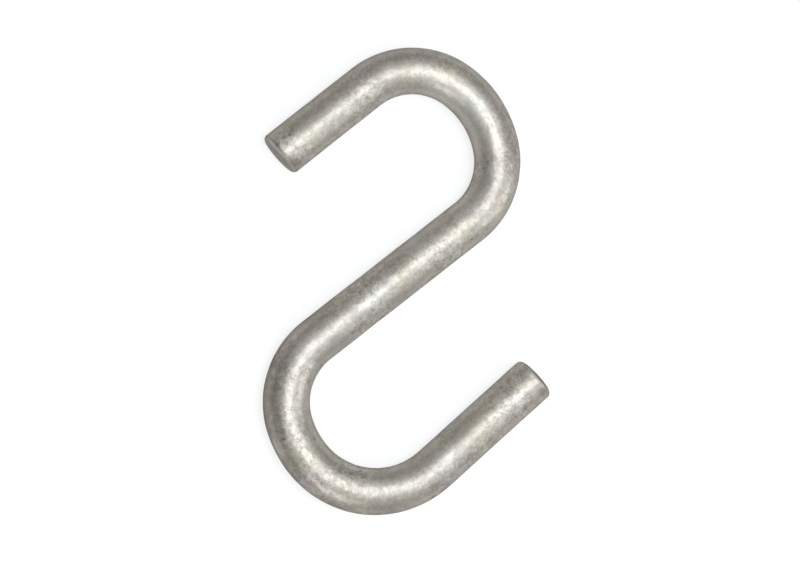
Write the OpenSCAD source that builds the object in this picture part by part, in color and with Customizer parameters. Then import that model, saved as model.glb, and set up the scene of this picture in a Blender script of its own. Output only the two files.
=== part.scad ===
// Open S hook, bent cold from one length of round steel bar and galvanised after bending.
//
// It lies flat, as it comes to rest: the bar touches Z = 0, the line of pull runs along Y,
// and the origin is under the middle of its box. The upper hook is the one on the +Y side.
// Each hook leaves the straight shank with a root bend, runs on round a slacker back and
// the seat that carries the load, and ends in a straight leg that is left open.

/* [Bar] */
// Diameter of the bar
bar_d = 8; // [4:0.5:12]
// Radius round the rim of each cut end
rim_r = 0.8; // [0.2:0.1:1.5]
// Straight length between the two root bends
shank_l = 33.5; // [20:0.5:60]

/* [Upper hook] */
// Centreline radius of the root bend
upper_root_r = 13; // [8:0.1:25]
// Angle turned in the root bend
upper_root_angle = 63.5; // [50:0.5:75]
// Centreline radius of the back
upper_back_r = 17; // [8:0.1:25]
// Angle turned along the back
upper_back_angle = 42; // [20:0.5:55]
// Centreline radius of the seat
upper_seat_r = 13.4; // [8:0.1:25]
// Angle turned round the seat
upper_seat_angle = 75.5; // [60:0.5:90]
// Straight length of the open leg
upper_leg_l = 19.3; // [10:0.1:30]
// Lean of the cut face from square
upper_cut_lean = -3; // [-6:0.5:6]

/* [Lower hook] */
// Centreline radius of the root bend
lower_root_r = 13.2; // [8:0.1:25]
// Angle turned in the root bend
lower_root_angle = 70.5; // [55:0.5:80]
// Centreline radius of the back
lower_back_r = 17.5; // [8:0.1:25]
// Angle turned along the back
lower_back_angle = 23.5; // [10:0.5:40]
// Centreline radius of the seat
lower_seat_r = 15.3; // [8:0.1:25]
// Angle turned round the seat
lower_seat_angle = 89.5; // [75:0.5:105]
// Straight length of the open leg
lower_leg_l = 23.8; // [10:0.1:30]
// Lean of the cut face from square
lower_cut_lean = 0; // [-6:0.5:6]

/* [Hidden] */
$fn = 64;

bar_r = bar_d / 2;
// Bar draws down a little where it is bent hardest. The root bends and the seats are thinner
// by this in radius than what they meet, and lap into it, so that all of it is one solid.
draw_down = 0.02;
lap = 0.3;

// A bend is [radius, angle], and turns to the left of the way that it is walked.
upper_bends = [
    [upper_root_r, upper_root_angle],
    [upper_back_r, upper_back_angle],
    [upper_seat_r, upper_seat_angle],
];
lower_bends = [
    [lower_root_r, lower_root_angle],
    [lower_back_r, lower_back_angle],
    [lower_seat_r, lower_seat_angle],
];
ROOT = 0;
BACK = 1;
SEAT = 2;
LEG = 3;

// A pose is [x, y, heading]: a point of the centreline, and the way that the bar leaves it.
function ahead(pose, l) = pose + l * [cos(pose.z), sin(pose.z), 0];
function to_left(pose, l) = pose + l * [-sin(pose.z), cos(pose.z), 0];
function turned(pose, angle) = pose + [0, 0, angle];
function bend_end(pose, bend) =
    to_left(turned(to_left(pose, bend[0]), bend[1]), -bend[0]);

// Poses where each bend starts, and then where the leg does
function walk(pose, bends, i = 0) =
    i == len(bends) ? [pose] : concat([pose], walk(bend_end(pose, bends[i]), bends, i + 1));

// Both hooks are walked outwards from the middle of the shank.
function upper_walk(heading) = walk(ahead([0, 0, heading], shank_l / 2), upper_bends);
function lower_walk(heading) = walk(ahead([0, 0, heading + 180], shank_l / 2), lower_bends);

// A loaded hook hangs with the centres of both its seats on the line of pull.
function seat_centre(poses, bends) = to_left(poses[SEAT], bends[SEAT][0]);
pull = seat_centre(upper_walk(0), upper_bends) - seat_centre(lower_walk(0), lower_bends);
shank_heading = 90 - atan2(pull.y, pull.x);
upper = upper_walk(shank_heading);
lower = lower_walk(shank_heading);

// How far a point, a bend, a cut end and the whole bar reach in one direction
function point_reach(p, direction) = p.x * cos(direction) + p.y * sin(direction);
function bend_faces(pose, bend, direction) =
    let (past_start = direction + 90 - pose.z)
    past_start - 360 * floor(past_start / 360) < bend[1];
function bend_reach(pose, bend, direction) =
    bend_faces(pose, bend, direction)
        ? point_reach(to_left(pose, bend[0]), direction) + bend[0] + bar_r
        : point_reach(pose, direction);
function cut_reach(pose, l, lean, direction) =
    let (face = ahead(pose, l - rim_r), side = bar_r - rim_r)
    max([for (s = [-side, side])
        point_reach(ahead(to_left(face, s), s * tan(lean)), direction) + rim_r]);
function hook_reach(poses, bends, leg_l, lean, direction) =
    max(concat(
        [for (i = [ROOT:SEAT]) bend_reach(poses[i], bends[i], direction)],
        cut_reach(poses[LEG], leg_l, lean, direction)
    ));
function reach(direction) =
    max(
        hook_reach(upper, upper_bends, upper_leg_l, upper_cut_lean, direction),
        hook_reach(lower, lower_bends, lower_leg_l, lower_cut_lean, direction)
    );
middle = [reach(0) - reach(180), reach(90) - reach(270)] / 2;

module at(pose) {
    translate([pose.x, pose.y, 0])
    rotate(pose.z)
    children();
}

// Lays what stands on Z along the bar, with its seam on the outside of the bends
module lay_down() {
    rotate([-90, 0, -90])
    children();
}

module straight_bar(l) {
    lay_down()
    cylinder(h = l, r = bar_r);
}

// A bend of the bar, run on by some angle past both of its ends
module bent_bar(bend, section_r, run_on = 0) {
    translate([0, bend[0], 0])
    rotate(-90 - run_on)
    rotate_extrude(angle = bend[1] + 2 * run_on)
    translate([bend[0], 0])
    circle(r = section_r);
}

// A root bend or a seat
module drawn_bend(bend) {
    bent_bar(bend, bar_r - draw_down, lap / bend[0] * 180 / PI);
}

module back(bend) {
    bent_bar(bend, bar_r);
}

module shank() {
    at(ahead([0, 0, shank_heading], -shank_l / 2))
    straight_bar(shank_l);
}

// A round end with a rounded rim, and with its face at the origin
module cut_end(l) {
    r = bar_r - draw_down;
    lay_down()
    rotate_extrude()
    translate([0, -l]) {
        square([r, l - rim_r]);
        square([r - rim_r, l]);
        translate([r - rim_r, l - rim_r])
        circle(r = rim_r);
    }
}

// The end is sheared along the bar, so that its face leans and its sides stay straight.
module leg(l, lean) {
    end_l = rim_r + bar_r * tan(abs(lean)) + lap;
    straight_bar(l - end_l);
    translate([l, 0, 0])
    multmatrix([[1, tan(lean), 0, 0], [0, 1, 0, 0], [0, 0, 1, 0]])
    cut_end(2 * end_l);
}

module hook(poses, bends, leg_l, cut_lean) {
    at(poses[ROOT])
    drawn_bend(bends[ROOT]);
    at(poses[BACK])
    back(bends[BACK]);
    at(poses[SEAT])
    drawn_bend(bends[SEAT]);
    at(poses[LEG])
    leg(leg_l, cut_lean);
}

module s_hook() {
    color("#b3aea5")
    translate([-middle.x, -middle.y, bar_r]) {
        shank();
        hook(upper, upper_bends, upper_leg_l, upper_cut_lean);
        hook(lower, lower_bends, lower_leg_l, lower_cut_lean);
    }
}

s_hook();
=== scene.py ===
"""Looks of an open S hook, bent cold from one length of round steel bar and hot-dip galvanised.

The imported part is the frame, and it stays as it is. One piece is modelled over it: the bar,
which is run out from the middle of its shank round both hooks, cut off at both ends, and then
covered with zinc that lies a little unevenly.
"""

import logging
import math
from collections.abc import Callable
from dataclasses import dataclass, replace
from enum import Enum
from typing import Any, Union

import bpy
from mathutils import Matrix, Vector


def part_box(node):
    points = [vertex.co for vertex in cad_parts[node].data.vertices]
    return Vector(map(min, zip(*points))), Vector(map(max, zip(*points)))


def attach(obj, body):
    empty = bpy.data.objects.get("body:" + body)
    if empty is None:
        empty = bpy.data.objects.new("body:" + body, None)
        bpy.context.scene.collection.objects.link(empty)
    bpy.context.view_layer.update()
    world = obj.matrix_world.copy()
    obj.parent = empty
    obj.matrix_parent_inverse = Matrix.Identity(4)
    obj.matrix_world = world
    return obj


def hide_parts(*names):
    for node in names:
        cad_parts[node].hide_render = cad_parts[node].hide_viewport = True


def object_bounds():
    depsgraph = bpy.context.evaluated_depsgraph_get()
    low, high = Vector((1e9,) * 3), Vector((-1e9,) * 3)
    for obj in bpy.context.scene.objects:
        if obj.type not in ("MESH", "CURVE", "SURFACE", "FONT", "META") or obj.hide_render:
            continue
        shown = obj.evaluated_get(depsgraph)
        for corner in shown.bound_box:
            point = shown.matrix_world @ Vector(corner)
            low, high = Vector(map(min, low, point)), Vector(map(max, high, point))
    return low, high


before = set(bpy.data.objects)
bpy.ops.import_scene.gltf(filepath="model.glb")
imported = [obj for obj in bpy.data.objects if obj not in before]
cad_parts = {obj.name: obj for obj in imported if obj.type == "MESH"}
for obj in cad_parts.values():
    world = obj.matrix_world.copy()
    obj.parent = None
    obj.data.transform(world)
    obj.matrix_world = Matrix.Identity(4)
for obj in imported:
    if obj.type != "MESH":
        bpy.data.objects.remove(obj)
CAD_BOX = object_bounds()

log = logging.getLogger("s_hook")

MM = 0.001
NODE = "s_hook"

Colour = tuple[float, float, float]


# ---------------------------------------------------------------- the way that the bar runs


@dataclass(frozen=True)
class Pose:
    """A point of the bar's centreline and the way that the bar leaves it.

    Attributes:
        x: Metres to the right.
        y: Metres along the line of pull.
        heading: Degrees from +X, turning to the left.
    """

    x: float
    y: float
    heading: float

    def along(self) -> Vector:
        """Returns the unit vector of the heading."""
        turn = math.radians(self.heading)
        return Vector((math.cos(turn), math.sin(turn), 0.0))

    def left(self) -> Vector:
        """Returns the unit vector that points to the left of the heading."""
        along = self.along()
        return Vector((-along.y, along.x, 0.0))

    def moved(self, ahead: float = 0.0, to_left: float = 0.0) -> "Pose":
        """Walks without turning.

        Args:
            ahead: Metres along the heading.
            to_left: Metres to the left of it.

        Returns:
            The new pose.
        """
        step = self.along() * ahead + self.left() * to_left
        return Pose(self.x + step.x, self.y + step.y, self.heading)

    def turned(self, angle: float) -> "Pose":
        """Returns the pose turned to the left on the spot by some degrees."""
        return Pose(self.x, self.y, self.heading + angle)

    def point(self, z: float) -> Vector:
        """Returns the point at some height, in metres."""
        return Vector((self.x, self.y, z))


@dataclass(frozen=True)
class Bend:
    """A bend of the bar to the left.

    Attributes:
        radius: Metres from its centre to the centreline.
        angle: Degrees that it turns.
    """

    radius: float
    angle: float

    def centre(self, start: Pose) -> Pose:
        """Returns the pose at the bend's centre, with the heading of its start."""
        return start.moved(to_left=self.radius)

    def end(self, start: Pose) -> Pose:
        """Returns the pose where the bend ends."""
        return self.centre(start).turned(self.angle).moved(to_left=-self.radius)

    def length(self) -> float:
        """Returns the length of the centreline in the bend, in metres."""
        return self.radius * math.radians(self.angle)

    def first(self, length: float) -> "Bend":
        """Returns the start of the bend, up to some metres along its centreline."""
        return Bend(self.radius, math.degrees(length / self.radius))


@dataclass(frozen=True)
class Hook:
    """One hook, walked from the shank to its cut end.

    Attributes:
        root: The bend that leaves the shank.
        back: The slacker bend behind the seat.
        seat: The bend that carries the load.
        leg_length: Metres of straight leg after the seat.
        cut_lean: Degrees that the cut face leans from square.
    """

    root: Bend
    back: Bend
    seat: Bend
    leg_length: float
    cut_lean: float

    def bends(self) -> tuple[Bend, Bend, Bend]:
        """Returns the bends in the order that they are walked."""
        return self.root, self.back, self.seat

    def length(self) -> float:
        """Returns the length of the centreline from the shank to the cut face, in metres."""
        return sum(bend.length() for bend in self.bends()) + self.leg_length

    def seat_centre(self, start: Pose) -> Pose:
        """Returns the centre of the seat of a hook that leaves the shank at a pose."""
        return self.seat.centre(self.back.end(self.root.end(start)))

    def walked(self, start: Pose, distance: float) -> Pose:
        """Walks some way along the hook.

        Args:
            start: The pose where the hook leaves the shank.
            distance: Metres along the centreline; below 0 it is back along the shank.

        Returns:
            The pose there.
        """
        if distance < 0:
            return start.moved(distance)
        pose = start
        for bend in self.bends():
            if distance < bend.length():
                return bend.first(distance).end(pose)
            pose = bend.end(pose)
            distance -= bend.length()
        return pose.moved(distance)


class End(Enum):
    """One end of the bar."""

    UPPER = "upper"
    LOWER = "lower"


@dataclass(frozen=True)
class Course:
    """The way that the whole bar runs.

    Attributes:
        upper: The hook on the +Y side.
        lower: The hook on the -Y side.
        shank_length: Straight length between the two root bends, in metres.
        bar_radius: Metres from the centreline to the surface.
        middle: The point in the middle of the shank, in metres.
    """

    upper: Hook
    lower: Hook
    shank_length: float
    bar_radius: float
    middle: tuple[float, float, float] = (0.0, 0.0, 0.0)

    def shifted(self, shift: Vector) -> "Course":
        """Returns the course moved to another place."""
        middle = tuple(Vector(self.middle) + shift)
        return Course(self.upper, self.lower, self.shank_length, self.bar_radius, middle)

    def heading(self) -> float:
        """Returns the shank's heading that puts both seats on the line of pull."""
        flat = Pose(0.0, 0.0, 0.0)
        up = self.upper.seat_centre(flat.moved(self.shank_length / 2))
        down = self.lower.seat_centre(flat.turned(180.0).moved(self.shank_length / 2))
        pull = math.degrees(math.atan2(up.y - down.y, up.x - down.x))
        return 90.0 - pull

    def hook(self, end: End) -> Hook:
        """Returns the hook at an end."""
        return self.upper if end is End.UPPER else self.lower

    def way_to(self, end: End) -> Pose:
        """Returns the pose in the middle of the shank that faces an end."""
        x, y, _ = self.middle
        about = 0.0 if end is End.UPPER else 180.0
        return Pose(x, y, self.heading() + about)

    def back_from(self, end: End, length: float) -> Pose:
        """Returns the pose some metres back from an end's cut face, facing that end."""
        hook = self.hook(end)
        start = self.way_to(end).moved(self.shank_length / 2)
        return hook.walked(start, hook.length() - length)

    def on_top(self, end: End, from_cut: float, outside: float) -> Vector:
        """Finds a point on the upper side of the bar.

        Args:
            end: The end that it is measured from.
            from_cut: Metres back along the bar from that end's cut face.
            outside: Metres from the centreline to the outside of that hook's bends.

        Returns:
            The point.
        """
        rise = math.sqrt(self.bar_radius**2 - outside**2)
        place = self.back_from(end, from_cut).moved(to_left=-outside)
        return place.point(self.middle[2] + rise)


# ---------------------------------------------------------------- small helpers for modelling


def deselect_all() -> None:
    """Leaves object mode with nothing selected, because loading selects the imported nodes."""
    if bpy.context.object is not None and bpy.context.object.mode != "OBJECT":
        bpy.ops.object.mode_set(mode="OBJECT")
    bpy.ops.object.select_all(action="DESELECT")


def make_active(piece: bpy.types.Object) -> None:
    """Leaves only one piece selected, and makes it the active one."""
    deselect_all()
    piece.select_set(True)
    bpy.context.view_layer.objects.active = piece


def select_vertices(piece: bpy.types.Object, chosen: Callable[[Vector], bool]) -> None:
    """Selects vertices in edit mode by a test on their place.

    Args:
        piece: The mesh that is being edited.
        chosen: A function from a vertex's place to whether it is wanted.
    """
    bpy.ops.mesh.select_mode(type="VERT")
    bpy.ops.mesh.select_all(action="DESELECT")
    bpy.ops.object.mode_set(mode="OBJECT")
    for vertex in piece.data.vertices:
        vertex.select = chosen(vertex.co)
    bpy.ops.object.mode_set(mode="EDIT")


def select_edges(piece: bpy.types.Object, over: float) -> None:
    """Selects the edges that are longer than some metres, in edit mode."""
    bpy.ops.mesh.select_mode(type="EDGE")
    bpy.ops.mesh.select_all(action="DESELECT")
    bpy.ops.object.mode_set(mode="OBJECT")
    points = [vertex.co for vertex in piece.data.vertices]
    for edge in piece.data.edges:
        first, second = edge.vertices
        edge.select = (points[first] - points[second]).length > over
    bpy.ops.object.mode_set(mode="EDIT")


def select_face(piece: bpy.types.Object, middle: Vector, normal: Vector) -> None:
    """Selects the one face that has its middle at a place, in edit mode.

    Args:
        piece: The mesh that is being edited.
        middle: The middle of the face.
        normal: The way that it faces, or the opposite way.
    """
    near = 0.05 * MM
    parallel = 0.99
    bpy.ops.mesh.select_mode(type="FACE")
    bpy.ops.mesh.select_all(action="DESELECT")
    bpy.ops.object.mode_set(mode="OBJECT")
    for face in piece.data.polygons:
        here = (face.center - middle).length < near
        face.select = here and abs(face.normal.dot(normal)) > parallel
    bpy.ops.object.mode_set(mode="EDIT")


# ---------------------------------------------------------------- shader maths


class Value:
    """A number that a shader works out, with Python's operators."""

    def __init__(self, bench: "Bench", socket: bpy.types.NodeSocket) -> None:
        """Wraps an output socket of a node on a bench."""
        self.bench = bench
        self.socket = socket

    def _math(self, operation: str, *inputs: "Number", clamp: bool = False) -> "Value":
        """Adds a Math node.

        Args:
            operation: The Math node's operation.
            inputs: The values of its sockets in order.
            clamp: Whether the result is held between 0 and 1.

        Returns:
            The node's result.
        """
        node = self.bench.node(
            "ShaderNodeMath",
            {"operation": operation, "use_clamp": clamp},
            dict(enumerate(inputs)),
        )
        return Value(self.bench, node.outputs[0])

    def __add__(self, other: "Number") -> "Value":
        """Returns self + other."""
        return self._math("ADD", self, other)

    def __radd__(self, other: "Number") -> "Value":
        """Returns other + self."""
        return self._math("ADD", other, self)

    def __sub__(self, other: "Number") -> "Value":
        """Returns self - other."""
        return self._math("SUBTRACT", self, other)

    def __rsub__(self, other: "Number") -> "Value":
        """Returns other - self."""
        return self._math("SUBTRACT", other, self)

    def __mul__(self, other: "Number") -> "Value":
        """Returns self * other."""
        return self._math("MULTIPLY", self, other)

    def __rmul__(self, other: "Number") -> "Value":
        """Returns other * self."""
        return self._math("MULTIPLY", other, self)

    def __truediv__(self, other: "Number") -> "Value":
        """Returns self / other."""
        return self._math("DIVIDE", self, other)

    def held(self) -> "Value":
        """Returns the value held between 0 and 1."""
        return self._math("ADD", self, 0.0, clamp=True)

    def ramp(self, low: float, high: float) -> "Value":
        """Rises smoothly from 0 to 1.

        Args:
            low: The value that gives 0.
            high: The value that gives 1; below low, the ramp falls.

        Returns:
            The ramp.
        """
        node = self.bench.node(
            "ShaderNodeMapRange",
            {"interpolation_type": "SMOOTHSTEP"},
            {"Value": self, "From Min": low, "From Max": high},
        )
        return Value(self.bench, node.outputs["Result"])


Number = Union[float, int, Value]


@dataclass(frozen=True)
class Noise:
    """One layer of even noise.

    Attributes:
        size: Metres across one of its lumps.
        seed: A number that tells it from the others.
        detail: How many finer octaves it has.
        evenness: The strength of each octave beside the one before it.
    """

    size: float
    seed: float
    detail: float = 1.0
    evenness: float = 0.5


class Bench:
    """A material's node tree while it is being put together."""

    def __init__(self, material: bpy.types.Material) -> None:
        """Clears the tree of a material, and starts with its place on the object."""
        material.use_nodes = True
        self.tree = material.node_tree
        self.tree.nodes.clear()
        place = self.node("ShaderNodeTexCoord", {}, {})
        self.place = place.outputs["Object"]

    def node(
        self, kind: str, settings: dict[str, Any], inputs: dict[Union[str, int], Any]
    ) -> bpy.types.Node:
        """Adds a node.

        Args:
            kind: The node's type.
            settings: Its properties, which are set first.
            inputs: A value, a Value or a socket for each input, by name or number.

        Returns:
            The node.
        """
        node = self.tree.nodes.new(kind)
        for name, setting in settings.items():
            setattr(node, name, setting)
        for name, given in inputs.items():
            source = given.socket if isinstance(given, Value) else given
            if isinstance(source, bpy.types.NodeSocket):
                self.tree.links.new(source, node.inputs[name])
            else:
                node.inputs[name].default_value = source
        return node

    def noise(self, layer: Noise) -> Value:
        """Adds a layer of noise, and returns it centred on 0."""
        node = self.node(
            "ShaderNodeTexNoise",
            {"noise_dimensions": "4D"},
            {
                "Vector": self.place,
                "W": layer.seed,
                "Scale": 1.0 / layer.size,
                "Detail": layer.detail,
                "Roughness": layer.evenness,
            },
        )
        return Value(self, node.outputs[0]) - 0.5

    def vector_maths(self, operation: str, first: Any, second: Any) -> bpy.types.Node:
        """Adds a Vector Math node with two inputs."""
        return self.node("ShaderNodeVectorMath", {"operation": operation}, {0: first, 1: second})

    def away_from(self, point: Vector) -> Value:
        """Returns the distance from a point, in metres."""
        return Value(self, self.vector_maths("DISTANCE", self.place, point).outputs["Value"])

    def ahead(self, way: Vector) -> Value:
        """Returns how far along a unit vector the place lies, in metres."""
        return Value(self, self.vector_maths("DOT_PRODUCT", self.place, way).outputs["Value"])

    def mixed(self, share: Value, first: Any, second: Any) -> bpy.types.NodeSocket:
        """Mixes two colours.

        Args:
            share: The share of the second, from 0 to 1.
            first: A colour or a socket.
            second: A colour or a socket.

        Returns:
            The mixed colour.
        """
        first_input, second_input, result = 6, 7, 2
        inputs = {0: share}
        for number, given in ((first_input, first), (second_input, second)):
            inputs[number] = (*given, 1.0) if isinstance(given, tuple) else given
        node = self.node("ShaderNodeMix", {"data_type": "RGBA"}, inputs)
        return node.outputs[result]

    def tinted(self, share: Value, colour: Any, first: Any, second: Any) -> bpy.types.NodeSocket:
        """Multiplies a colour by a mix of two tints.

        Args:
            share: The share of the second tint, from 0 to 1.
            colour: The socket of the colour.
            first: A tint.
            second: A tint.

        Returns:
            The tinted colour.
        """
        tint = self.mixed(share, first, second)
        return self.vector_maths("MULTIPLY", colour, tint).outputs[0]


# ---------------------------------------------------------------- the finish


# BARE_STEEL_AND_PAINTED_SHADE is the colour of bare spots and worn lines, and also of the
# patches of painted shade; PALE_ZINC_AND_PAINTED_LIGHT is the colour of the palest zinc grains,
# and also of the patches of painted light.
RUST = (0.34, 0.215, 0.12)
BARE_STEEL_AND_PAINTED_SHADE = (0.17, 0.145, 0.115)
PALE_ZINC_AND_PAINTED_LIGHT = (0.507, 0.481, 0.439)


@dataclass(frozen=True)
class Fade:
    """Where something fades in.

    Attributes:
        start: Where it starts to show.
        full: Where it is full.
    """

    start: float
    full: float

    def of(self, value: Value) -> Value:
        """Returns how far a value is into the fade, from 0 to 1."""
        return value.ramp(self.start, self.full)


@dataclass(frozen=True)
class Drift:
    """Two tints that the film on the zinc drifts between.

    Attributes:
        noise: Where it drifts.
        first: One tint.
        second: The other tint.
    """

    noise: Noise
    first: Colour
    second: Colour


@dataclass(frozen=True)
class Spots:
    """Round spots that are scattered over the zinc.

    Attributes:
        gap: Metres from one cell to the next, each of which may hold a spot.
        bare: The share of the cells that hold none.
        edge: From the edge of a spot to where it is full, in shares of the gap.
        colour: Its colour.
        strength: How much of the zinc it hides.
        depth: Metres that it is sunk.
    """

    gap: float
    bare: float
    edge: Fade
    colour: Colour
    strength: float
    depth: float


@dataclass(frozen=True)
class Mark:
    """A stain, or a patch of painted shade or painted light, on the upper side of the bar.

    Attributes:
        end: The end of the bar that it is measured from.
        from_cut: Metres back along the bar from that end's cut face.
        outside: Metres from the centreline to the outside of that hook's bends.
        radius: Metres from its middle to its edge.
        colour: Its colour.
        strength: How much of the zinc's colour it covers at its middle.
    """

    end: End
    from_cut: float
    outside: float
    radius: float
    colour: Colour
    strength: float


@dataclass(frozen=True)
class PaintedShadeAndLightRow:
    """A row of round marks that runs along the bar: painted shade where their colour is
    BARE_STEEL_AND_PAINTED_SHADE, painted light where it is PALE_ZINC_AND_PAINTED_LIGHT.

    Attributes:
        first: The first of the marks.
        step: Metres from one mark to the next, away from the cut face.
        strengths: How much of the zinc's colour each mark after the first one covers.
    """

    first: Mark
    step: float
    strengths: tuple[float, ...]

    def marks(self) -> list[Mark]:
        """Returns the marks in order."""
        marks = [self.first]
        for strength in self.strengths:
            from_cut = marks[-1].from_cut + self.step
            marks.append(replace(self.first, from_cut=from_cut, strength=strength))
        return marks


@dataclass(frozen=True)
class WornRim:
    """A line round a cut end, where the zinc is thin over the sheared edge.

    Attributes:
        end: The end that it is on.
        start: Metres from the cut face to the near side of the line.
        stop: Metres from the cut face to its far side.
        strength: How much of the zinc it hides.
    """

    end: End
    start: float
    stop: float
    strength: float


@dataclass(frozen=True)
class GalvanisedFinish:
    """Satin hot-dip zinc on rolled steel bar.

    Attributes:
        pale: Colour of the brightest grains of zinc.
        dull: Colour of the dullest grains.
        cloud: The broadest lightening and darkening.
        speckle: The finer one.
        flecks: The finest one.
        tones: How much cloud, speckle and flecks lighten and darken the zinc.
        patch: Where the zinc is lively and where it is calm.
        calm: How much of the speckle and flecks is left where it is calm.
        lively: How much more of them there is where it is lively.
        liveliness: From calm to lively, in terms of patch.
        specked: From no specks to all of them, in terms of patch.
        drifts: The tints of the film.
        drift_contrast: How sharply the film changes from one tint to the other.
        specks: The dark specks where the zinc is thin.
        pits: The pinholes.
        grain: The finer bumps.
        grain_height: Metres that they stand up.
        mottle: The coarser bumps.
        mottle_height: Metres that they stand up.
        metallic: How metallic the zinc is under its thin white film.
        roughness: How satin it is on average.
        gloss: How much smoother it is where speckle, flecks or grain are strong.
        edge_tint: How much of its gloss is left at a glancing angle.
        marks: The stains that stand by themselves, and two broad patches of painted shade.
        painted_shade_and_light_rows: Rows of painted shade and painted light that run along the
            bar, darkening or lightening it where it should look darker or brighter.
        mark_edge: From the edge of a mark to where it is full, in shares of its radius.
        mark_fray: Metres that the edge of a mark wanders.
        rims: The worn lines round the two cut ends.
        rim_edge: The same as mark_edge for a worn line, in shares of half its width.
        rim_fray: Metres that a worn line wanders.
        rim_reach: Where a worn line fades out, in metres from the middle of the cut face.
    """

    pale: Colour = PALE_ZINC_AND_PAINTED_LIGHT
    dull: Colour = (0.246, 0.219, 0.180)
    cloud: Noise = Noise(4.0 * MM, seed=1.0, evenness=1.0)
    speckle: Noise = Noise(0.9 * MM, seed=2.0, evenness=1.0)
    flecks: Noise = Noise(0.4 * MM, seed=3.0, evenness=1.0)
    tones: tuple[float, float, float] = (0.6, 1.15, 1.1)
    patch: Noise = Noise(8.0 * MM, seed=6.0)
    calm: float = 0.6
    lively: float = 0.75
    liveliness: Fade = Fade(-0.10, 0.14)
    specked: Fade = Fade(0.02, 0.14)
    drifts: tuple[Drift, ...] = (
        Drift(Noise(3.2 * MM, seed=7.0), (1.025, 0.99, 1.00), (0.975, 1.01, 1.00)),
        Drift(Noise(5.0 * MM, seed=8.0, detail=2.0), (1.00, 1.00, 0.95), (1.00, 1.00, 1.05)),
    )
    drift_contrast: float = 2.5
    specks: Spots = Spots(
        0.9 * MM, 0.55, Fade(0.33, 0.16), (0.20, 0.18, 0.155), strength=0.45, depth=0.015 * MM
    )
    pits: Spots = Spots(
        3.4 * MM, 0.70, Fade(0.13, 0.05), (0.13, 0.11, 0.09), strength=0.60, depth=0.030 * MM
    )
    grain: Noise = Noise(0.7 * MM, seed=4.0, detail=1.5)
    grain_height: float = 0.052 * MM
    mottle: Noise = Noise(1.6 * MM, seed=5.0)
    mottle_height: float = 0.047 * MM
    metallic: float = 0.65
    roughness: float = 0.42
    gloss: float = 0.15
    edge_tint: float = 0.25
    marks: tuple[Mark, ...] = (
        Mark(End.LOWER, 4.0 * MM, 2.1 * MM, 0.65 * MM, RUST, 0.80),
        Mark(End.LOWER, 5.4 * MM, 2.1 * MM, 0.95 * MM, BARE_STEEL_AND_PAINTED_SHADE, 0.55),
        Mark(End.LOWER, 7.6 * MM, 2.2 * MM, 0.55 * MM, RUST, 0.70),
        Mark(End.LOWER, 1.0 * MM, 2.0 * MM, 1.40 * MM, BARE_STEEL_AND_PAINTED_SHADE, 0.50),
        # Painted shade: a broad darker patch over the lower leg, not a stain.
        Mark(End.LOWER, 17.2 * MM, -0.6 * MM, 2.80 * MM, BARE_STEEL_AND_PAINTED_SHADE, 0.20),
        Mark(End.LOWER, 51.4 * MM, -2.6 * MM, 0.45 * MM, BARE_STEEL_AND_PAINTED_SHADE, 0.50),
        Mark(End.LOWER, 54.8 * MM, 1.7 * MM, 0.60 * MM, BARE_STEEL_AND_PAINTED_SHADE, 0.40),
        Mark(End.LOWER, 57.2 * MM, 1.9 * MM, 0.70 * MM, BARE_STEEL_AND_PAINTED_SHADE, 0.40),
        Mark(End.LOWER, 61.2 * MM, 2.3 * MM, 0.80 * MM, BARE_STEEL_AND_PAINTED_SHADE, 0.40),
        # Painted shade: a broad darker patch where the lower hook's root bend meets the shank,
        # not a stain.
        Mark(End.LOWER, 73.0 * MM, 3.7 * MM, 4.50 * MM, BARE_STEEL_AND_PAINTED_SHADE, 0.30),
        Mark(End.UPPER, 0.5 * MM, 1.6 * MM, 0.45 * MM, BARE_STEEL_AND_PAINTED_SHADE, 0.55),
        Mark(End.UPPER, 1.1 * MM, -2.6 * MM, 1.40 * MM, BARE_STEEL_AND_PAINTED_SHADE, 0.45),
        Mark(End.UPPER, 2.1 * MM, 2.1 * MM, 0.50 * MM, BARE_STEEL_AND_PAINTED_SHADE, 0.50),
        Mark(End.UPPER, 52.3 * MM, -2.4 * MM, 0.70 * MM, BARE_STEEL_AND_PAINTED_SHADE, 0.40),
    )
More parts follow.
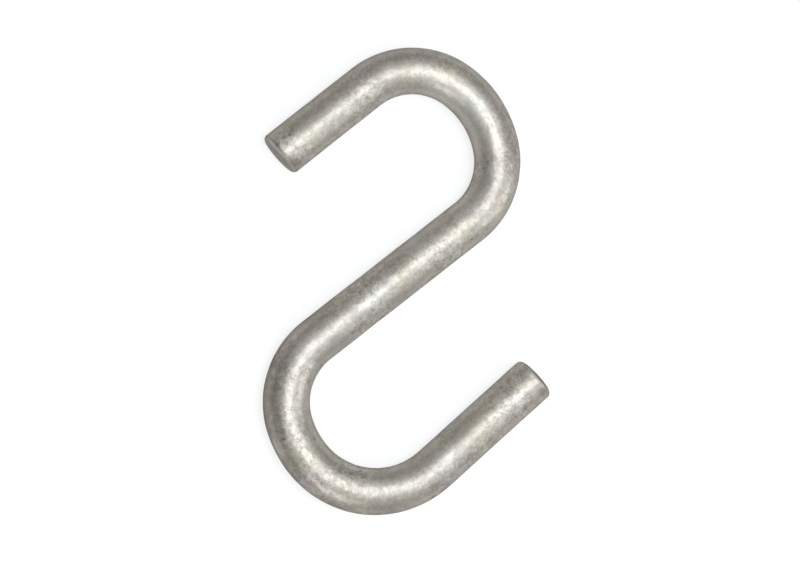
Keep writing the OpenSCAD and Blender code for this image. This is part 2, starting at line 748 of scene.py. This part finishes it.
    # Painted shade and painted light: the rows in BARE_STEEL_AND_PAINTED_SHADE darken the bar,
    # and those in PALE_ZINC_AND_PAINTED_LIGHT lighten it, where it should look darker or
    # brighter; they are not stains or paler zinc.
    painted_shade_and_light_rows: tuple[PaintedShadeAndLightRow, ...] = (
        # The five rows below are painted shade.
        PaintedShadeAndLightRow(
            Mark(End.LOWER, 25.3 * MM, 2.2 * MM, 3.50 * MM, BARE_STEEL_AND_PAINTED_SHADE, 0.14),
            step=5.6 * MM,
            strengths=(0.14, 0.14),
        ),
        PaintedShadeAndLightRow(
            Mark(End.LOWER, 33.6 * MM, 3.8 * MM, 4.50 * MM, BARE_STEEL_AND_PAINTED_SHADE, 0.25),
            step=7.5 * MM,
            strengths=(0.25, 0.35, 0.40),
        ),
        PaintedShadeAndLightRow(
            Mark(End.LOWER, 60.8 * MM, 3.7 * MM, 4.50 * MM, BARE_STEEL_AND_PAINTED_SHADE, 0.40),
            step=4.3 * MM,
            strengths=(0.40,),
        ),
        PaintedShadeAndLightRow(
            Mark(End.LOWER, 73.6 * MM, -1.2 * MM, 2.50 * MM, BARE_STEEL_AND_PAINTED_SHADE, 0.15),
            step=5.0 * MM,
            strengths=(0.15,),
        ),
        PaintedShadeAndLightRow(
            Mark(End.UPPER, 5.3 * MM, 1.6 * MM, 3.50 * MM, BARE_STEEL_AND_PAINTED_SHADE, 0.22),
            step=5.0 * MM,
            strengths=(0.22, 0.22, 0.22, 0.22),
        ),
        # The two rows below are painted light.
        PaintedShadeAndLightRow(
            Mark(End.UPPER, 33.2 * MM, -2.7 * MM, 3.00 * MM, PALE_ZINC_AND_PAINTED_LIGHT, 0.25),
            step=4.6 * MM,
            strengths=(0.30, 0.30, 0.20),
        ),
        PaintedShadeAndLightRow(
            Mark(End.UPPER, 59.9 * MM, -3.1 * MM, 3.00 * MM, PALE_ZINC_AND_PAINTED_LIGHT, 0.35),
            step=4.6 * MM,
            strengths=(0.45, 0.35, 0.25),
        ),
    )
    mark_edge: Fade = Fade(1.2, 0.2)
    mark_fray: float = 0.85 * MM
    rims: tuple[WornRim, ...] = (
        WornRim(End.UPPER, 0.45 * MM, 0.80 * MM, 0.35),
        WornRim(End.LOWER, -0.10 * MM, 0.35 * MM, 0.70),
    )
    rim_edge: Fade = Fade(1.6, 0.4)
    rim_fray: float = 0.3 * MM
    rim_reach: Fade = Fade(6.0 * MM, 5.0 * MM)

    def made(self, course: Course) -> bpy.types.Material:
        """Makes the material.

        Args:
            course: The way that the bar runs, on which the marks are placed.

        Returns:
            The material.
        """
        material = bpy.data.materials.new("galvanised_zinc")
        bench = Bench(material)
        speckle = bench.noise(self.speckle)
        flecks = bench.noise(self.flecks)
        grain = bench.noise(self.grain)
        patch = bench.noise(self.patch)
        specks = self._scattered(bench, self.specks) * self.specked.of(patch)
        pits = self._scattered(bench, self.pits)
        colour = self._clean(bench, speckle, flecks, patch)
        colour = bench.mixed(specks * self.specks.strength, colour, self.specks.colour)
        colour = bench.mixed(pits * self.pits.strength, colour, self.pits.colour)
        colour = self._marked(bench, course, colour, speckle)
        height = (
            grain * self.grain_height
            + bench.noise(self.mottle) * self.mottle_height
            - specks * self.specks.depth
            - pits * self.pits.depth
        )
        bump = bench.node(
            "ShaderNodeBump", {}, {"Height": height, "Distance": 1.0, "Strength": 1.0}
        )
        satin = self.roughness - (speckle + flecks + grain) * self.gloss
        shader = bench.node(
            "ShaderNodeBsdfPrincipled",
            {},
            {
                "Base Color": colour,
                "Metallic": self.metallic,
                "Roughness": satin.held(),
                "Specular IOR Level": 0.0,
                "Specular Tint": (self.edge_tint, self.edge_tint, self.edge_tint, 1.0),
                "Normal": bump.outputs[0],
            },
        )
        bench.node("ShaderNodeOutputMaterial", {}, {"Surface": shader.outputs[0]})
        return material

    def _clean(
        self, bench: Bench, speckle: Value, flecks: Value, patch: Value
    ) -> bpy.types.NodeSocket:
        """Mixes the colour of clean zinc.

        Args:
            bench: The material's bench.
            speckle: The finer lightening and darkening.
            flecks: The finest one.
            patch: Where both are strong.

        Returns:
            The colour.
        """
        cloud_tone, speckle_tone, fleck_tone = self.tones
        fine = speckle * speckle_tone + flecks * fleck_tone
        fine *= self.calm + self.lively * self.liveliness.of(patch)
        tone = 0.5 + bench.noise(self.cloud) * cloud_tone + fine
        colour = bench.mixed(tone.held(), self.dull, self.pale)
        for drift in self.drifts:
            share = (0.5 + bench.noise(drift.noise) * self.drift_contrast).held()
            colour = bench.tinted(share, colour, drift.first, drift.second)
        return colour

    def _marked(
        self, bench: Bench, course: Course, colour: bpy.types.NodeSocket, ragged: Value
    ) -> bpy.types.NodeSocket:
        """Lays every stain, patch of painted shade or painted light, and worn line over a
        colour.

        Args:
            bench: The material's bench.
            course: The way that the bar runs.
            colour: What they are laid over.
            ragged: Noise that frays their edges.

        Returns:
            The colour with the stains, the painted shade and light, and the worn lines.
        """
        marks = list(self.marks)
        # Painted shade and painted light: the rows of long patches are laid here along with the
        # stains.
        for painted_row in self.painted_shade_and_light_rows:
            marks += painted_row.marks()
        for mark in marks:
            middle = course.on_top(mark.end, mark.from_cut, mark.outside)
            away = (bench.away_from(middle) + ragged * self.mark_fray) / mark.radius
            colour = bench.mixed(self.mark_edge.of(away) * mark.strength, colour, mark.colour)
        for rim in self.rims:
            colour = bench.mixed(self._worn(bench, course, rim, ragged), colour, BARE_STEEL_AND_PAINTED_SHADE)
        return colour

    def _worn(self, bench: Bench, course: Course, rim: WornRim, ragged: Value) -> Value:
        """Draws the worn line round one cut end.

        Args:
            bench: The material's bench.
            course: The way that the bar runs.
            rim: The line.
            ragged: Noise that frays it.

        Returns:
            How much of the zinc it hides, from 0 to 1.
        """
        tip = course.back_from(rim.end, 0.0)
        face = tip.point(course.middle[2])
        way = tip.turned(-course.hook(rim.end).cut_lean).along()
        depth = face.dot(way) - bench.ahead(way) + ragged * self.rim_fray
        half_width = (rim.stop - rim.start) / 2
        off_middle = (depth - (rim.start + rim.stop) / 2) / half_width
        line = self.rim_edge.of(off_middle) * self.rim_edge.of(off_middle * -1.0)
        return line * self.rim_reach.of(bench.away_from(face)) * rim.strength

    @staticmethod
    def _scattered(bench: Bench, spots: Spots) -> Value:
        """Scatters round spots, and returns how far a place is into one, from 0 to 1."""
        cells = bench.node(
            "ShaderNodeTexVoronoi",
            {"voronoi_dimensions": "3D"},
            {"Vector": bench.place, "Scale": 1.0 / spots.gap},
        )
        away = Value(bench, cells.outputs["Distance"])
        lot = bench.node("ShaderNodeSeparateColor", {}, {"Color": cells.outputs["Color"]})
        holds = Fade(spots.bare, spots.bare + 0.02).of(Value(bench, lot.outputs["Red"]))
        return spots.edge.of(away) * holds


# ---------------------------------------------------------------- the bar


@dataclass(frozen=True)
class Unevenness:
    """One size of lump in the zinc.

    Attributes:
        size: Metres across a lump.
        height: Metres from the hollows to the tops.
    """

    size: float
    height: float


@dataclass
class BentBar:
    """The one piece of the hook.

    Attributes:
        course: The way that it runs, first with the middle of its shank at the origin.
        rim_radius: Radius round the rim of each cut end, in metres.
        sides: How many flats go round the bar.
        ring_gap: Metres from one ring of the mesh to the next.
        rim_steps: How many flats go round a rim from the side to the cut face.
        face_rings: How many rings there are on a cut face.
        spare: Metres of leg beyond the rim that are left whole for the cut.
        tolerance: Metres within which a vertex lies in a plane.
        merge_distance: Metres within which two vertices become one.
        unevenness: The lumps of the zinc, coarse to fine.
    """

    course: Course = Course(
        upper=Hook(
            root=Bend(13.0 * MM, 63.5),
            back=Bend(17.0 * MM, 42.0),
            seat=Bend(13.4 * MM, 75.5),
            leg_length=19.3 * MM,
            cut_lean=-3.0,
        ),
        lower=Hook(
            root=Bend(13.2 * MM, 70.5),
            back=Bend(17.5 * MM, 23.5),
            seat=Bend(15.3 * MM, 89.5),
            leg_length=23.8 * MM,
            cut_lean=0.0,
        ),
        shank_length=33.5 * MM,
        bar_radius=4.0 * MM,
    )
    rim_radius: float = 0.8 * MM
    sides: int = 120
    ring_gap: float = 0.3 * MM
    rim_steps: int = 7
    face_rings: int = 9
    spare: float = 0.1 * MM
    tolerance: float = 0.01 * MM
    merge_distance: float = 0.001 * MM
    unevenness: tuple[Unevenness, ...] = (
        Unevenness(6.0 * MM, 0.07 * MM),
        Unevenness(2.2 * MM, 0.03 * MM),
    )

    def build(self, finish: GalvanisedFinish) -> bpy.types.Object:
        """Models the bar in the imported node's place.

        Args:
            finish: What the bar is covered with.

        Returns:
            The piece.
        """
        bar = self._joined(self._half(End.UPPER), self._half(End.LOWER))
        self._seat_in_node(bar)
        self._lay_zinc(bar)
        bpy.ops.object.shade_smooth()
        bar.data.materials.append(finish.made(self.course))
        log.info("%s: %d faces", bar.name, len(bar.data.polygons))
        return bar

    def _half(self, end: End) -> bpy.types.Object:
        """Models one half of the bar, from the middle of the shank to a cut end.

        Args:
            end: The end that it runs to.

        Returns:
            The half, open at the middle of the shank.
        """
        hook = self.course.hook(end)
        pose = self.course.way_to(end)
        half_shank = self.course.shank_length / 2
        half = self._first_ring()
        self._draw_out(half, pose, half_shank, self._rings(half_shank))
        pose = pose.moved(half_shank)
        for bend in hook.bends():
            self._spin(pose, bend)
            pose = bend.end(pose)
        whole = self._end_length(hook)
        plain = hook.leg_length - whole
        self._draw_out(half, pose, plain, self._rings(plain))
        self._draw_out(half, pose.moved(plain), 2 * whole, 1)
        self._cut_end(half, hook, pose.moved(hook.leg_length))
        deselect_all()
        return half

    def _first_ring(self) -> bpy.types.Object:
        """Adds the ring in the middle of the shank, and leaves it in edit mode."""
        across = math.radians(self.course.heading() + 90.0)
        deselect_all()
        bpy.ops.mesh.primitive_circle_add(
            vertices=self.sides,
            radius=self.course.bar_radius,
            location=(0.0, 0.0, 0.0),
            rotation=(math.pi / 2, 0.0, across),
        )
        bpy.ops.object.transform_apply(location=True, rotation=True, scale=True)
        bpy.ops.object.mode_set(mode="EDIT")
        bpy.ops.mesh.select_mode(type="EDGE")
        bpy.ops.mesh.select_all(action="SELECT")
        return bpy.context.object

    def _joined(self, upper: bpy.types.Object, lower: bpy.types.Object) -> bpy.types.Object:
        """Joins the two halves at the middle of the shank, with every face outwards."""
        make_active(upper)
        lower.select_set(True)
        bpy.ops.object.join()
        bpy.ops.object.mode_set(mode="EDIT")
        bpy.ops.mesh.select_all(action="SELECT")
        bpy.ops.mesh.remove_doubles(threshold=self.merge_distance)
        bpy.ops.mesh.normals_make_consistent(inside=False)
        bpy.ops.object.mode_set(mode="OBJECT")
        upper.name = upper.data.name = "hook_bar"
        return upper

    def _rings(self, length: float) -> int:
        """Returns how many rings a length of bar is cut into."""
        return round(length / self.ring_gap)

    def _end_length(self, hook: Hook) -> float:
        """Returns the length of leg that is left whole for the cut and its rim."""
        lean = math.tan(math.radians(abs(hook.cut_lean)))
        return self.rim_radius + self.course.bar_radius * lean + self.spare

    def _draw_out(self, half: bpy.types.Object, pose: Pose, length: float, rings: int) -> None:
        """Extrudes the selected ring along a heading.

        Args:
            half: The mesh in edit mode.
            pose: Where the ring is.
            length: How far it is drawn, in metres.
            rings: How many steps the new length is cut into.
        """
        along = pose.along()
        bpy.ops.mesh.extrude_region_move(TRANSFORM_OT_translate={"value": along * length})
        if rings == 1:
            return
        select_edges(half, over=3 * self.ring_gap)
        bpy.ops.mesh.subdivide(number_cuts=rings - 1)
        end = pose.moved(length).point(0.0)
        reach = self.course.bar_radius + self.tolerance

        def on_last_ring(place: Vector) -> bool:
            """Returns whether a place is on the ring at the far end."""
            apart = place - end
            return apart.length < reach and abs(apart.dot(along)) < self.tolerance

        select_vertices(half, on_last_ring)
        bpy.ops.mesh.select_mode(type="EDGE")

    def _spin(self, start: Pose, bend: Bend) -> None:
        """Spins the selected ring round a bend.

        Args:
            start: Where the ring is.
            bend: The bend.
        """
        bpy.ops.mesh.spin(
            steps=self._rings(bend.length()),
            angle=-math.radians(bend.angle),
            center=bend.centre(start).point(0.0),
            axis=(0.0, 0.0, 1.0),
        )

    def _cut_end(self, half: bpy.types.Object, hook: Hook, tip: Pose) -> None:
        """Cuts a leg off with a leaning face, rounds its rim, and closes it.

        Args:
            half: The mesh in edit mode.
            hook: The hook whose leg it is.
            tip: The pose at the middle of the cut.
        """
        middle = tip.point(0.0)
        aside = tip.left()
        facing = tip.turned(-hook.cut_lean).along()
        bar_width = 2 * self.course.bar_radius
        reach = 3 * self._end_length(hook)

        def near_cut(place: Vector, way: Vector, limit: float) -> bool:
            """Returns whether a place is on this leg, and near the cut in some direction."""
            apart = place - middle
            return abs(apart.dot(way)) < limit and abs(apart.dot(aside)) < bar_width

        select_vertices(half, lambda place: near_cut(place, tip.along(), reach))
        bpy.ops.mesh.bisect(plane_co=middle, plane_no=facing, use_fill=True, clear_outer=True)
        select_vertices(half, lambda place: near_cut(place, facing, self.tolerance))
        bpy.ops.mesh.select_mode(type="EDGE")
        bpy.ops.mesh.bevel(
            offset=self.rim_radius, segments=self.rim_steps, profile=0.5, affect="EDGES"
        )
        select_face(half, middle, facing)
        face_radius = self.course.bar_radius - self.rim_radius
        for _ in range(self.face_rings):
            bpy.ops.mesh.inset(thickness=face_radius / (self.face_rings + 1))
        bpy.ops.mesh.poke()

    def _seat_in_node(self, bar: bpy.types.Object) -> None:
        """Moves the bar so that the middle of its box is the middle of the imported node's."""
        low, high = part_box(NODE)
        corners = [Vector(corner) for corner in bar.bound_box]
        lowest = Vector([min(corner[axis] for corner in corners) for axis in range(3)])
        highest = Vector([max(corner[axis] for corner in corners) for axis in range(3)])
        shift = (low + high) / 2 - (lowest + highest) / 2
        bar.location = shift
        make_active(bar)
        bpy.ops.object.transform_apply(location=True, rotation=True, scale=True)
        self.course = self.course.shifted(shift)

    def _lay_zinc(self, bar: bpy.types.Object) -> None:
        """Makes the surface uneven, as zinc freezes on it."""
        make_active(bar)
        for number, lumps in enumerate(self.unevenness):
            pattern = bpy.data.textures.new(f"zinc_lumps_{number}", "CLOUDS")
            pattern.noise_scale = lumps.size
            pattern.noise_depth = 1
            bpy.ops.object.modifier_add(type="DISPLACE")
            modifier = bar.modifiers[-1]
            modifier.texture = pattern
            modifier.texture_coords = "LOCAL"
            modifier.mid_level = 0.5
            modifier.strength = lumps.height
        for modifier in list(bar.modifiers):
            bpy.ops.object.modifier_apply(modifier=modifier.name)


# ---------------------------------------------------------------- the studio


class LampShape(Enum):
    """The shape of a lamp's diffuser."""

    ROUND = "DISK"
    SQUARE = "SQUARE"


class Tint(Enum):
    """The colour of a lamp's light."""

    COOL = (0.94, 1.00, 1.06)
    PLAIN = (0.98, 1.00, 1.02)
    WARM = (1.05, 1.00, 0.95)


def direction(azimuth: float, elevation: float) -> Vector:
    """Turns two angles into a direction.

    Args:
        azimuth: Degrees round from +X, turning to the left.
        elevation: Degrees above the floor.

    Returns:
        The unit vector.
    """
    turn, tilt = math.radians(azimuth), math.radians(elevation)
    level = math.cos(tilt)
    return Vector((math.cos(turn) * level, math.sin(turn) * level, math.sin(tilt)))


@dataclass(frozen=True)
class Softbox:
    """A lamp with a diffuser.

    Attributes:
        name: What it is called.
        azimuth: Degrees round from +X, turning to the left.
        elevation: Degrees above the floor.
        side: Metres across it.
        light: What it alone would make of a white card that faces it, where 1 is white.
        shape: The shape of its diffuser.
        tint: Colour of its light.
        distance: Metres from the middle of the hook.
    """

    name: str
    azimuth: float
    elevation: float
    side: float
    light: float
    shape: LampShape = LampShape.SQUARE
    tint: Tint = Tint.PLAIN
    distance: float = 0.9

    def hang(self, aim: Vector) -> None:
        """Hangs the lamp so that it faces a point."""
        way = direction(self.azimuth, self.elevation)
        lamp = bpy.data.lights.new(self.name, "AREA")
        lamp.shape = self.shape.value
        lamp.size = self.side
        lamp.color = self.tint.value
        lamp.energy = self.light * (math.pi * self.distance) ** 2
        holder = bpy.data.objects.new(self.name, lamp)
        holder.location = aim + way * self.distance
        holder.rotation_mode = "QUATERNION"
        holder.rotation_quaternion = (-way).to_track_quat("-Z", "Y")
        bpy.context.scene.collection.objects.link(holder)


@dataclass
class Studio:
    """The floor, the lamps and the camera.

    Attributes:
        floor_side: Metres along the floor's side.
        floor_height: Height of the floor, just under the lowest lumps of the zinc.
        floor_colour: Colour of the floor.
        floor_white: Share of the floor that shows as plain white, whatever falls on it.
        ambient: Radiance of the room, where 1 is white.
        softboxes: The lamps.
        camera_distance: Metres from the camera to what it looks at.
        camera_azimuth: Degrees round from +X to the camera, turning to the left.
        camera_elevation: Degrees above the floor.
        camera_up: The way that is up in the picture, on the floor.
        lens: Focal length in millimetres.
        sensor_width: Width of the sensor in millimetres.
        clip_start: Metres from the camera within which nothing is drawn.
        aim_offset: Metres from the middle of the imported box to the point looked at.
    """

    floor_side: float = 4.0
    floor_height: float = -0.04 * MM
    floor_colour: Colour = (0.85, 0.85, 0.85)
    floor_white: float = 0.8
    ambient: float = 0.01
    softboxes: tuple[Softbox, ...] = (
        Softbox("overhead_softbox", 30.0, 89.0, 0.22, 0.37, LampShape.ROUND, Tint.COOL, 0.4),
        Softbox("overhead_core", 30.0, 89.0, 0.10, 0.38, LampShape.ROUND, Tint.COOL, 0.4),
        Softbox("right_softbox", -8.0, 28.0, 0.30, 0.12, LampShape.ROUND),
        Softbox("right_core", -8.0, 28.0, 0.14, 0.06, LampShape.ROUND),
        Softbox("front_softbox", -100.0, 33.0, 0.30, 0.15, LampShape.ROUND),
        Softbox("front_lamp", -100.0, 20.0, 0.14, 0.10, LampShape.ROUND),
        Softbox("high_right_panel", -5.0, 64.0, 0.45, 0.06),
        Softbox("high_back_right_panel", 55.0, 64.0, 0.45, 0.12),
        Softbox("high_back_left_panel", 115.0, 64.0, 0.45, 0.06),
        Softbox("high_front_left_panel", -125.0, 64.0, 0.45, 0.10),
        Softbox("high_front_right_panel", -65.0, 64.0, 0.45, 0.10),
        Softbox("right_panel", -8.0, 40.0, 0.50, 0.15),
        Softbox("back_panel", 82.0, 40.0, 0.50, 0.06, tint=Tint.WARM),
        Softbox("back_left_panel", 127.0, 40.0, 0.50, 0.05, tint=Tint.WARM),
        Softbox("left_panel", 172.0, 40.0, 0.50, 0.03, tint=Tint.WARM),
        Softbox("front_left_panel", -143.0, 40.0, 0.50, 0.02, tint=Tint.WARM),
        Softbox("front_right_panel", -53.0, 40.0, 0.50, 0.05),
        Softbox("low_right_panel", -8.0, 16.0, 0.35, 0.05),
        Softbox("low_front_right_panel", -53.0, 16.0, 0.35, 0.02),
        Softbox("low_back_left_panel", 127.0, 16.0, 0.35, 0.02, tint=Tint.WARM),
    )
    camera_distance: float = 342.5 * MM
    camera_azimuth: float = -169.54
    camera_elevation: float = 78.91
    camera_up: tuple[float, float, float] = (-0.1462, 0.9893, 0.0)
    lens: float = 89.83
    sensor_width: float = 36.0
    clip_start: float = 10.0 * MM
    aim_offset: tuple[float, float, float] = (-1.09 * MM, -0.17 * MM, 0.0)

    def build(self) -> None:
        """Sets up the whole studio."""
        low, high = CAD_BOX
        middle = (low + high) / 2
        self._lay_floor()
        self._light_room()
        for softbox in self.softboxes:
            softbox.hang(middle)
        self._place_camera(middle + Vector(self.aim_offset))

    def _lay_floor(self) -> None:
        """Lays the pale floor that the hook lies on."""
        deselect_all()
        bpy.ops.mesh.primitive_plane_add(size=self.floor_side)
        floor = bpy.context.object
        floor.location.z = self.floor_height
        bpy.ops.object.transform_apply(location=True)
        floor.name = floor.data.name = "studio_floor"
        material = bpy.data.materials.new("studio_paper")
        bench = Bench(material)
        paper = bench.node("ShaderNodeBsdfDiffuse", {}, {"Color": (*self.floor_colour, 1.0)})
        white = bench.node("ShaderNodeEmission", {}, {"Strength": 1.0})
        ray = bench.node("ShaderNodeLightPath", {}, {})
        seen = sum(
            Value(bench, ray.outputs[name])
            for name in ("Is Camera Ray", "Is Glossy Ray", "Is Transmission Ray")
        )
        floor_look = bench.node(
            "ShaderNodeMixShader",
            {},
            {0: seen.held() * self.floor_white, 1: paper.outputs[0], 2: white.outputs[0]},
        )
        bench.node("ShaderNodeOutputMaterial", {}, {"Surface": floor_look.outputs[0]})
        floor.data.materials.append(material)

    def _light_room(self) -> None:
        """Gives the room its even light."""
        world = bpy.data.worlds.new("studio_room")
        bpy.context.scene.world = world
        world.use_nodes = True
        background = world.node_tree.nodes["Background"]
        background.inputs["Color"].default_value = (1.0, 1.0, 1.0, 1.0)
        background.inputs["Strength"].default_value = self.ambient

    def _place_camera(self, aim: Vector) -> None:
        """Places the camera over the hook.

        Args:
            aim: The point that it looks at.
        """
        back = direction(self.camera_azimuth, self.camera_elevation)
        right = Vector(self.camera_up).cross(back).normalized()
        up = back.cross(right)
        camera = bpy.data.cameras.new("studio_camera")
        camera.lens = self.lens
        camera.sensor_width = self.sensor_width
        camera.clip_start = self.clip_start
        holder = bpy.data.objects.new("studio_camera", camera)
        turned = Matrix((right, up, back)).transposed().to_4x4()
        holder.matrix_world = Matrix.Translation(aim + back * self.camera_distance) @ turned
        bpy.context.scene.collection.objects.link(holder)
        bpy.context.scene.camera = holder


def main() -> None:
    """Builds the hook and the studio."""
    logging.basicConfig(level=logging.INFO, format="%(name)s %(message)s")
    view = bpy.context.scene.view_settings
    view.view_transform = "Standard"
    bar = BentBar().build(GalvanisedFinish())
    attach(bar, "root")
    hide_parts(NODE)
    Studio().build()


if __name__ == "__main__":
    main()
